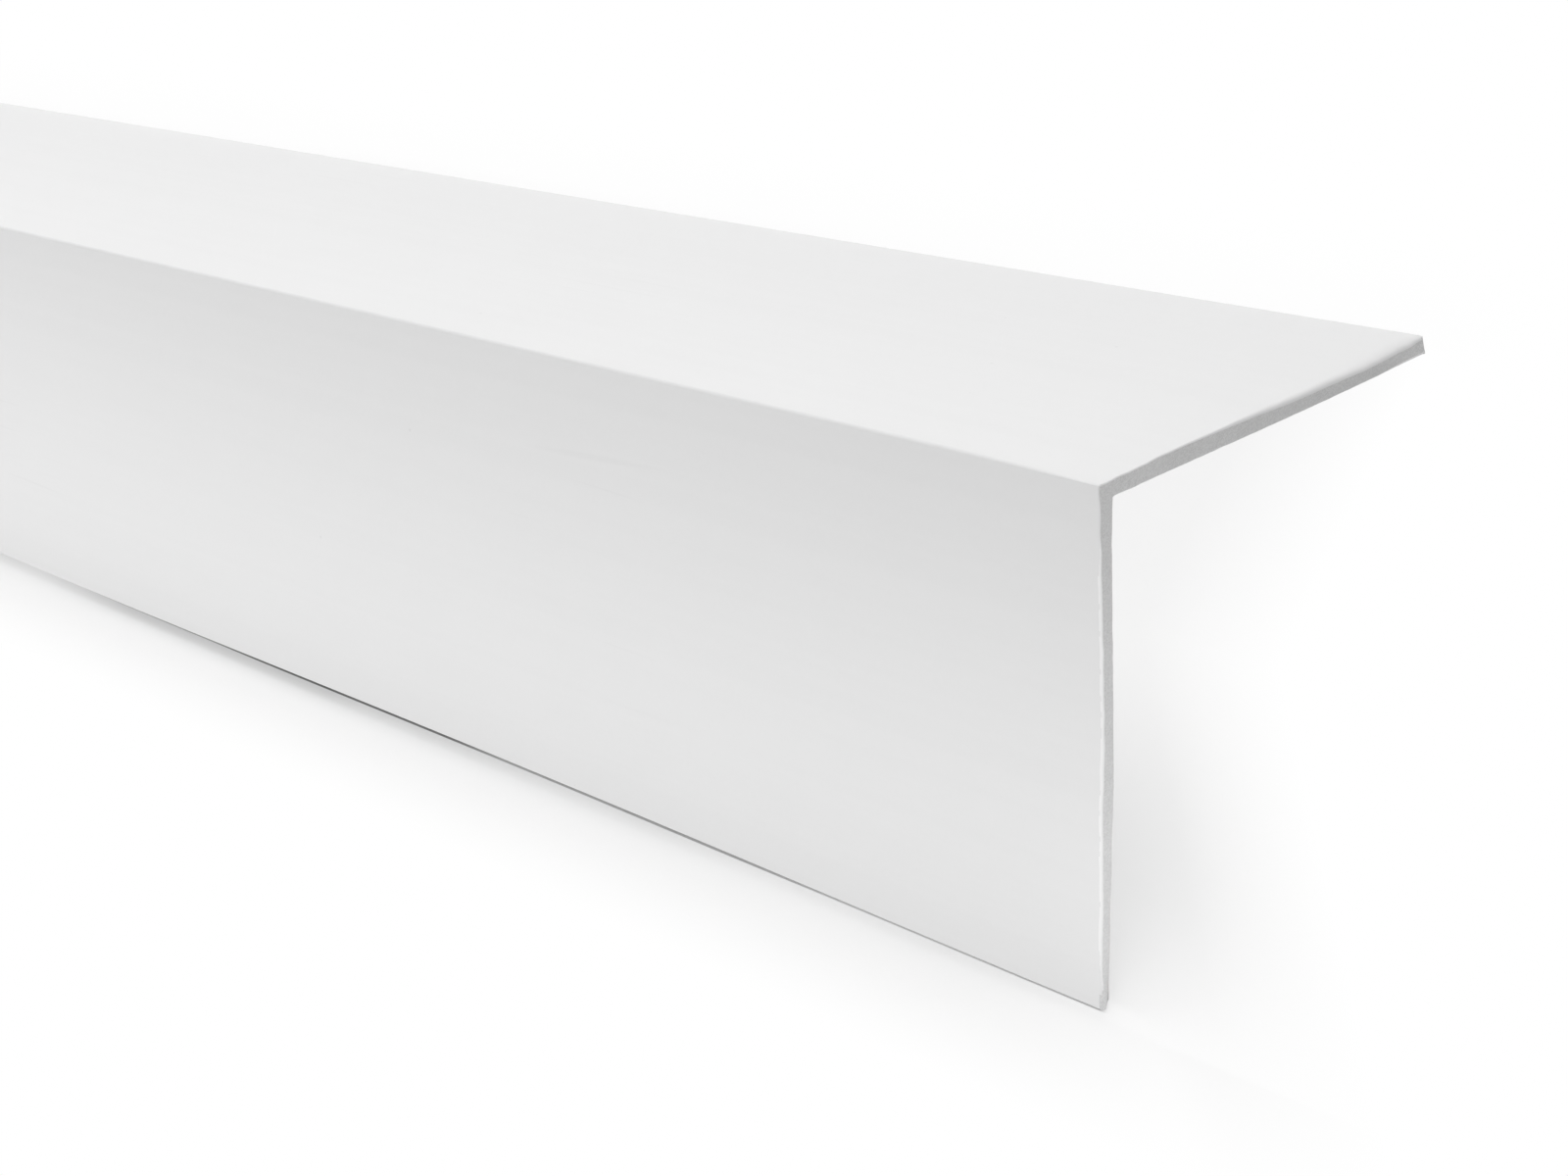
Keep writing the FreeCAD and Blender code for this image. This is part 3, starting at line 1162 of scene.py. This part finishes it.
@dataclass(frozen=True)
class Softbox:
    """A soft rectangular lamp, placed in the die frame and aimed at a point of it.

    Attributes:
        name: the lamp's name.
        place, target: where it stands and what it faces.
        width, height: its sides. The width lies along the stock where it can.
        level: how brightly its own face glows, where 1 is white.
    """

    name: str
    place: Vector
    target: Vector
    width: float
    height: float
    level: float

    def build(self, resting: Resting) -> bpy.types.Object:
        """Make the lamp.

        Args:
            resting: how the die frame lies in the row frame.

        Returns:
            The lamp.
        """
        data = bpy.data.lights.new(self.name, "AREA")
        data.shape = "RECTANGLE"
        data.size, data.size_y = self.width, self.height
        data.energy = self.level * math.pi * self.width * self.height
        lamp = bpy.data.objects.new(self.name, data)
        back = (self.place - self.target).normalized()
        side = Vector((1.0, 0.0, 0.0))
        side = (side - back * side.dot(back)).normalized()
        up = back.cross(side)
        turn = Matrix((side, up, back)).transposed().to_4x4()
        lamp.matrix_world = resting.matrix @ Matrix.Translation(self.place) @ turn
        lamp.visible_camera = False
        bpy.context.collection.objects.link(lamp)
        return lamp


@dataclass(frozen=True)
class ShadeArea:
    """Where the floor shows the light and shade that fall on it, beside its own white.

    Attributes:
        half_length, half_width: of the floor that the stock stands on.
        broad_share, broad_reach: the share just outside a free edge, and how far out it shows.
        contact_share, contact_reach: what is added close to the edge, away from the sawn ends.
        contact_core: the share of that reach with all of it.
        outside_end: the distances past the nearer sawn end between which both die away.
        painted_line_edge: how far out the painted shadow line in the gap under the edge ends, by
            distance past the nearer sawn end. It ends further in where the edge lifts off the floor.
        painted_line_strength: how dark that painted shadow line is, likewise.
        painted_line_softness: the width over which it fades out.
        painted_line_cover: how much of the floor's own white it hides, beside its strength.
        reach_by_end: how much of the contact shade and of the painted shade beside the line there is,
            by distance past the nearer sawn end.
            painted_shade_share, painted_shade_reach: painted shade beside the line, which darkens the
            floor's colour, and how far it goes.
        painted_shade_core: the share of that reach with all of it.
        rear_outside: the shade outside the rear edge as a share of that outside the front one.
        front_share, rear_share: the share under the front leg, and under the ridge and the rear leg.
        front_from: where the first begins to fade, as a share of half_width from the ridge.
        end_fade: how far the shade under the legs takes to die away at a sawn end.
        end_slant: how much further it reaches past the end for each millimetre towards the front edge.
        side_blend, end_blend: how far on both sides of the edge's line the shades inside and outside
            it run into each other, along the stock and past its end.
        blend_inset: how far the outer end of that stretch is moved in.
    """

    half_length: float
    half_width: float
    broad_share: float = 0.50
    broad_reach: float = 12 * MM
    contact_share: float = 0.5
    contact_reach: float = 2.9 * MM
    contact_core: float = 0.3
    outside_end: tuple[float, float] = (-22 * MM, 20 * MM)
    # Painted shadow: place and darkness of the dark line painted on the floor in the gap under the front
    # edge, and of the painted shade beside it.
    painted_line_edge: Knots = (
        (-193 * MM, -0.06 * MM), (-160 * MM, 0.11 * MM), (-135 * MM, 0.11 * MM), (-85 * MM, 0.02 * MM),
        (-40 * MM, 0.14 * MM), (-5 * MM, 0.24 * MM))
    painted_line_strength: Knots = (
        (-195 * MM, 0.14), (-150 * MM, 0.58), (-134 * MM, 1.0), (-98 * MM, 0.92), (-85 * MM, 0.60),
        (-50 * MM, 0.59), (-30 * MM, 0.36), (-2.5 * MM, 0.36), (-0.8 * MM, 0.0))
    painted_line_softness: float = 0.08 * MM
    painted_line_cover: float = 3.0
    reach_by_end: Knots = (
        (-195 * MM, 0.45), (-160 * MM, 1.0), (-125 * MM, 1.0), (-105 * MM, 0.72), (-70 * MM, 0.43),
        (-40 * MM, 0.13), (-5 * MM, 0.10), (10 * MM, 0.0))
    painted_shade_share: float = 0.13
    painted_shade_reach: float = 1.6 * MM
    painted_shade_core: float = 0.5
    rear_outside: float = 0.12
    front_share: float = 0.40
    front_from: float = 0.75
    rear_share: float = 0.13
    end_fade: float = 16 * MM
    end_slant: float = 0.75
    side_blend: float = 1.0 * MM
    end_blend: float = 14 * MM
    blend_inset: float = 1.5 * MM

    def _outside(self, nodes: Nodes, off_edge: object, past_end: object) -> bpy.types.NodeSocket:
        """The share outside a free edge.

        Args:
            nodes: the floor's tree.
            off_edge: distance out from the nearer free edge.
            past_end: distance beyond the nearer sawn end.

        Returns:
            The share, from 0 to 1.
        """
        broad = nodes.map_range(off_edge, 0.0, self.broad_reach, self.broad_share, 0.0)
        contact = nodes.map_range(off_edge, self.contact_core * self.contact_reach, self.contact_reach,
                                  self.contact_share, 0.0)
        contact = nodes.math("MULTIPLY", contact, nodes.curve(past_end, self.reach_by_end))
        total = nodes.math("ADD", broad, contact, clamp=True)
        return nodes.math("MULTIPLY", total, nodes.map_range(past_end, *self.outside_end, 1.0, 0.0))

    def _painted_gap_shadow(self, nodes: Nodes, off_edge: object, past_end: object) -> bpy.types.NodeSocket:
        """The painted shadow line in the gap under a free edge, and the painted shade beside it.

        Args:
            nodes: the floor's tree.
            off_edge: distance out from the nearer free edge.
            past_end: distance beyond the nearer sawn end.

        Returns:
            Strength of the painted shadow line and of the painted shade beside it, from 0 to 1.
        """
        # Painted shadow: a narrow dark line on the floor just outside the edge.
        beyond = nodes.math("SUBTRACT", off_edge, nodes.curve(past_end, self.painted_line_edge))
        narrow = nodes.map_range(beyond, -self.painted_line_softness / 2, self.painted_line_softness / 2, 1.0, 0.0)
        line = nodes.math("MULTIPLY", narrow, nodes.curve(past_end, self.painted_line_strength))
        # Painted shade: a fainter darkening of the floor's colour beside that line.
        painted_close_shade = nodes.map_range(beyond, self.painted_shade_core * self.painted_shade_reach, self.painted_shade_reach,
                                self.painted_shade_share, 0.0)
        painted_close_shade = nodes.math("MULTIPLY", painted_close_shade, nodes.curve(past_end, self.reach_by_end))
        return nodes.math("MAXIMUM", line, painted_close_shade)

    def _inside(self, nodes: Nodes, across: object, past_end: object) -> bpy.types.NodeSocket:
        """The share under the legs.

        Args:
            nodes: the floor's tree.
            across: distance from the middle, negative towards the front edge.
            past_end: distance beyond the nearer sawn end.

        Returns:
            The share, from 0 to 1.
        """
        share = nodes.map_range(across, -self.front_from * self.half_width, 0.0,
                                self.front_share, self.rear_share)
        frontward = nodes.math("MAXIMUM", nodes.math("MULTIPLY", across, -self.end_slant), 0.0)
        beyond = nodes.math("SUBTRACT", past_end, frontward)
        return nodes.math("MULTIPLY", share, nodes.map_range(
            beyond, -self.end_fade, 0.0, 1.0, 0.0, smooth=False))

    def build(self, nodes: Nodes) -> tuple[bpy.types.NodeSocket, bpy.types.NodeSocket]:
        """Work out the share and the painted shadow line at each place on the floor.

        Args:
            nodes: the floor's tree.

        Returns:
            The share and the strength of the painted shadow line, from 0 to 1.
        """
        place = nodes.add("ShaderNodeNewGeometry").outputs["Position"]
        along, across, _ = nodes.add("ShaderNodeSeparateXYZ", {"Vector": place}).outputs
        off_edge = nodes.math("SUBTRACT", nodes.math("ABSOLUTE", across), self.half_width)
        past_end = nodes.math("SUBTRACT", nodes.math("ABSOLUTE", along), self.half_length)
        rearward = nodes.map_range(across, -self.half_width, self.half_width, 1.0, self.rear_outside)
        outside = nodes.math("MULTIPLY", self._outside(nodes, off_edge, past_end), rearward)
        # Painted shadow line and painted shade beside it, weaker by the rear edge.
        line = nodes.math("MULTIPLY", self._painted_gap_shadow(nodes, off_edge, past_end), rearward)
        blend = nodes.map_range(past_end, 0.0, self.end_fade, self.side_blend, self.end_blend)
        side = nodes.map_range(off_edge, nodes.math("MULTIPLY", blend, -1.0),
                               nodes.math("SUBTRACT", blend, self.blend_inset))
        line = nodes.math("MULTIPLY", line, side)
        mixed = nodes.mix_values(side, self._inside(nodes, across, past_end), outside)
        # Where the shadow line is painted, the floor shows its painted dark colour in place of its
        # white.
        shown = nodes.math("MULTIPLY", line, self.painted_line_cover, clamp=True)
        return nodes.math("MAXIMUM", mixed, shown), line


@dataclass(frozen=True)
class Studio:
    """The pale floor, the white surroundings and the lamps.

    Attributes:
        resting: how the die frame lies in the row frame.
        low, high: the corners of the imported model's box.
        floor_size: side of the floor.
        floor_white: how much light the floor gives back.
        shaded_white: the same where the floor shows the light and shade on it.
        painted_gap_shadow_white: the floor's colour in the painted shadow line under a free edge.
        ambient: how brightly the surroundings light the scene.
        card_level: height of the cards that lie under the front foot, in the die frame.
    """

    resting: Resting
    low: Vector
    high: Vector
    floor_size: float = 12.0
    floor_white: float = 0.8
    shaded_white: float = 1.0
    painted_gap_shadow_white: float = 0.2
    ambient: float = 0.1
    card_level: float = -51.5 * MM

    def _over(self, y: float, z: float) -> Vector:
        """A place beside the middle of the stock, in the die frame."""
        return Vector(((self.low.x + self.high.x) / 2 - self.resting.ridge_end.x, y, z))

    def lamps(self) -> list[Softbox]:
        """The lamps: name, place, target, width, height and level of each."""
        over, foot, middle = self._over, self.card_level, self._over(0, 0)
        return [
            Softbox("overhead", over(0.1, 1.3), middle, 2.4, 1.2, 1.12),
            Softbox("front_high", over(-1.0, 1.0), middle, 2.4, 0.8, 1.05),
            Softbox("near_top", over(-0.12, 0.35), middle, 2.0, 0.12, 1.18),
            Softbox("ridge_strip", over(-0.01, 0.06), over(-0.01, 0), 1.2, 0.03, 0.30),
            Softbox("rear", over(1.2, 0.9), middle, 2.4, 1.0, 1.0),
            Softbox("floor_card", over(-0.075, foot), over(-0.075, 0.1), 1.1, 0.15, 0.61),
            Softbox("wide_card", over(-0.21, foot), over(-0.21, 0.1), 1.3, 0.40, 0.22),
            Softbox("strip", over(-0.04, -0.035), over(0, -0.035), 1.1, 0.04, 0.21),
            Softbox("end_card", Vector((0.03, 0.0127, -0.0382)), Vector((0.03, -0.0873, 0.0618)),
                    0.06, 0.035, 0.5),
            Softbox("end_front", Vector((0.035, -0.02, foot)), Vector((0.035, -0.02, 0.1)),
                    0.06, 0.05, 0.35),
            Softbox("by_camera", Vector((0.35, -0.42, 0.2)), Vector((0, 0, -0.02)), 0.1, 0.1, 6.0),
        ]

    def world(self) -> None:
        """White surroundings for the eye and for reflections, and plain soft light for the rest."""
        world = bpy.data.worlds.new("studio_white")
        bpy.context.scene.world = world
        world.use_nodes = True
        nodes = Nodes(world.node_tree)
        level = nodes.map_range(self._seen(nodes), 0.0, 1.0, self.ambient, 1.0, smooth=False)
        sky = nodes.add("ShaderNodeBackground", {"Color": grey(1.0), "Strength": level})
        nodes.add("ShaderNodeOutputWorld", {"Surface": sky.outputs[0]})

    @staticmethod
    def _seen(nodes: Nodes) -> bpy.types.NodeSocket:
        """1 for camera, glossy and transmission rays, and 0 for those that carry light."""
        path = nodes.add("ShaderNodeLightPath").outputs
        either = nodes.math("MAXIMUM", path["Is Camera Ray"], path["Is Glossy Ray"])
        return nodes.math("MAXIMUM", either, path["Is Transmission Ray"])

    def floor(self) -> bpy.types.Object:
        """The pale floor, which shows white and keeps the object's shadow."""
        bpy.ops.mesh.primitive_plane_add(size=self.floor_size)
        floor = bpy.context.object
        floor.name = "floor"
        material = bpy.data.materials.new("pale_floor")
        material.use_nodes = True
        nodes = Nodes(material.node_tree)
        plain = nodes.add("ShaderNodeBsdfDiffuse", {"Color": grey(self.floor_white)})
        white = nodes.add("ShaderNodeEmission", {"Color": grey(1.0), "Strength": 1.0})
        size = self.high - self.low
        share, line = ShadeArea(size.x / 2, size.y / 2).build(nodes)
        # Painted shadow: the lit floor's colour darkens towards this grey along the gap under a free
        # edge and beside it.
        shade = nodes.mix_colours(line, grey(self.shaded_white), grey(self.painted_gap_shadow_white))
        lit = nodes.add("ShaderNodeBsdfDiffuse", {"Color": shade})
        shown = nodes.add("ShaderNodeMixShader", {0: share, 1: white.outputs[0], 2: lit.outputs[0]})
        mixed = nodes.add("ShaderNodeMixShader", {
            0: self._seen(nodes), 1: plain.outputs[0], 2: shown.outputs[0]})
        nodes.add("ShaderNodeOutputMaterial", {"Surface": mixed.outputs[0]})
        floor.data.materials.append(material)
        return floor

    def build(self) -> None:
        """Make the surroundings, the floor and the lamps."""
        self.world()
        self.floor()
        for lamp in self.lamps():
            lamp.build(self.resting)
        bpy.context.scene.view_settings.view_transform = "Standard"


def main() -> None:
    """Build the stock, the camera and the studio."""
    logging.basicConfig(level=logging.INFO, format="%(name)s: %(message)s")
    low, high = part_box(NODE)
    section = Section.from_box(low, high)
    near, far = SawnEnd(side=+1), SawnEnd(side=-1, seed=4.0)
    middle = (low + high) / 2
    resting = Resting(Vector((high.x - near.setback, middle.y, low.z + section.ridge_height)))

    camera = PhotoCamera().build(resting)
    log.info("camera at %s", tuple(round(value, 4) for value in camera.location))

    guard = CornerGuard(section, resting, high.x - low.x, near, far, Straightness())
    piece = guard.build()
    guard.dress(piece, Effects.build())
    log.info("%s: %d faces", piece.name, len(piece.data.polygons))

    Studio(resting, low, high).build()


if __name__ == "__main__":
    main()
